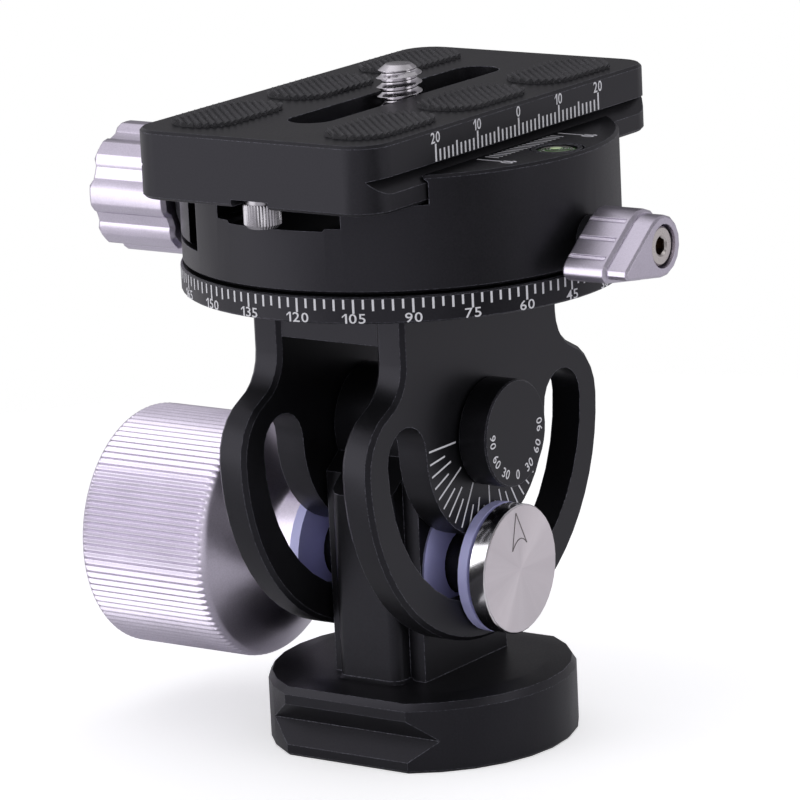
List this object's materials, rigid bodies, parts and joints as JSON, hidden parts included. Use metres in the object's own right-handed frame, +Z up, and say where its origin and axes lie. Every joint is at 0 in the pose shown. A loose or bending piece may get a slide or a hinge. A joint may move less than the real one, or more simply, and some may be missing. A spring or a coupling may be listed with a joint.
{
  "type": "two-way panoramic head",
  "caption": "Compact tripod head: a tilting yoke on a locking post, a graduated pan ring, and a clamp with a sliding camera plate.",
  "frame": {"origin": "centre of the assembly's bounding box on the floor; the pan axis stands 2.55 mm along +X from it", "axes": "+Z up the pan axis, +X along the tilt axis towards the lock's round cap, +Y along the plate"},
  "size_m": [0.09, 0.07, 0.0948],
  "materials": {
    "black_anodised": "fine bead-blasted, black anodised",
    "silver_anodised": "satin anodised silver with a lavender tint",
    "polished_steel": "radially brushed face, polished rim",
    "steel": "bright turned",
    "blackened_steel": "black oxide",
    "brass": "turned",
    "lavender_nylon": "smooth pale nylon",
    "black_rubber": "ribbed, grained",
    "level_green": "clear green vial"
  },
  "bodies": {
    "base": {"base_post": "black_anodised", "base_bushing": "steel", "lock_bolt": "steel", "lock_sleeve_right": "blackened_steel", "lock_sleeve_left": "blackened_steel", "washer_inner_right": "lavender_nylon", "washer_inner_left": "lavender_nylon", "washer_outer_right": "lavender_nylon", "lock_cap": "polished_steel"},
    "tilt_lock_washer": {"washer_outer_left": "lavender_nylon"},
    "tilt_lock_knob": {"tilt_knob": "silver_anodised", "tilt_knob_insert": "brass"},
    "tilt_yoke": {"yoke": "black_anodised", "pivot_pin": "steel", "pivot_boss": "black_anodised", "pivot_head": "blackened_steel", "pan_axle": "steel", "pan_axle_nut": "steel", "pan_washer": "lavender_nylon"},
    "pan_drum": {"drum": "black_anodised", "bubble_ring": "blackened_steel", "bubble_vial": "level_green", "guide_pin_front": "steel", "guide_pin_back": "steel"},
    "pan_lock": {"pan_lock_shoe": "brass", "pan_lock_screw": "steel", "pan_lock_collar": "steel", "pan_lock_wing": "silver_anodised", "wing_screw": "polished_steel"},
    "clamp_jaw": {"movable_jaw": "black_anodised", "clamp_washer": "lavender_nylon"},
    "clamp_knob_body": {"clamp_knob": "silver_anodised", "clamp_screw": "steel"},
    "camera_plate": {"plate": "black_anodised", "pad_left_front": "black_rubber", "pad_left_middle": "black_rubber", "pad_left_back": "black_rubber", "pad_right_front": "black_rubber", "pad_right_middle": "black_rubber", "pad_right_back": "black_rubber", "stop_screw_front": "steel", "stop_screw_back": "steel"},
    "screw_carriage": {"screw_washer": "lavender_nylon"},
    "camera_screw_body": {"camera_screw": "steel"}
  },
  "joints": [
    {"name": "tilt", "type": "hinge", "parent": "base", "child": "tilt_yoke", "pos_m": [0.00255, 0, 0.0445], "axis": [1, 0, 0], "range_deg": [-90, 90]},
    {"name": "pan", "type": "hinge", "parent": "tilt_yoke", "child": "pan_drum", "pos_m": [0.00255, 0, 0.06915], "axis": [0, 0, 1], "continuous": true},
    {"name": "tilt_lock_slide", "type": "slide", "parent": "base", "child": "tilt_lock_washer", "axis": [-1, 0, 0], "range_m": [0, 0.001]},
    {"name": "tilt_lock_turn", "type": "hinge", "parent": "tilt_lock_washer", "child": "tilt_lock_knob", "pos_m": [-0.0121, 0, 0.0252], "axis": [-1, 0, 0], "range_deg": [0, 360]},
    {"name": "pan_lock_turn", "type": "hinge", "parent": "pan_drum", "child": "pan_lock", "pos_m": [0.03295, 0, 0.07265], "axis": [1, 0, 0], "range_deg": [-20, 120]},
    {"name": "jaw_slide", "type": "slide", "parent": "pan_drum", "child": "clamp_jaw", "axis": [-1, 0, 0], "range_m": [0, 0.0025]},
    {"name": "clamp_knob_turn", "type": "hinge", "parent": "clamp_jaw", "child": "clamp_knob_body", "pos_m": [-0.03145, 0, 0.07465], "axis": [-1, 0, 0], "range_deg": [0, 1125]},
    {"name": "plate_slide", "type": "slide", "parent": "pan_drum", "child": "camera_plate", "axis": [0, 1, 0], "range_m": [-0.02, 0.02]},
    {"name": "camera_screw_slide", "type": "slide", "parent": "camera_plate", "child": "screw_carriage", "axis": [0, 1, 0], "range_m": [-0.02, 0.018]},
    {"name": "camera_screw_turn", "type": "hinge", "parent": "screw_carriage", "child": "camera_screw_body", "pos_m": [0.00255, 0.001, 0.09065], "axis": [0, 0, 1], "continuous": true}
  ],
  "couplings": [
    {"joint": "tilt_lock_slide", "follows": "tilt_lock_turn", "m_per_rad": 0.000159},
    {"joint": "clamp_knob_turn", "follows": "jaw_slide", "rad_per_m": 7853.9}
  ]
}
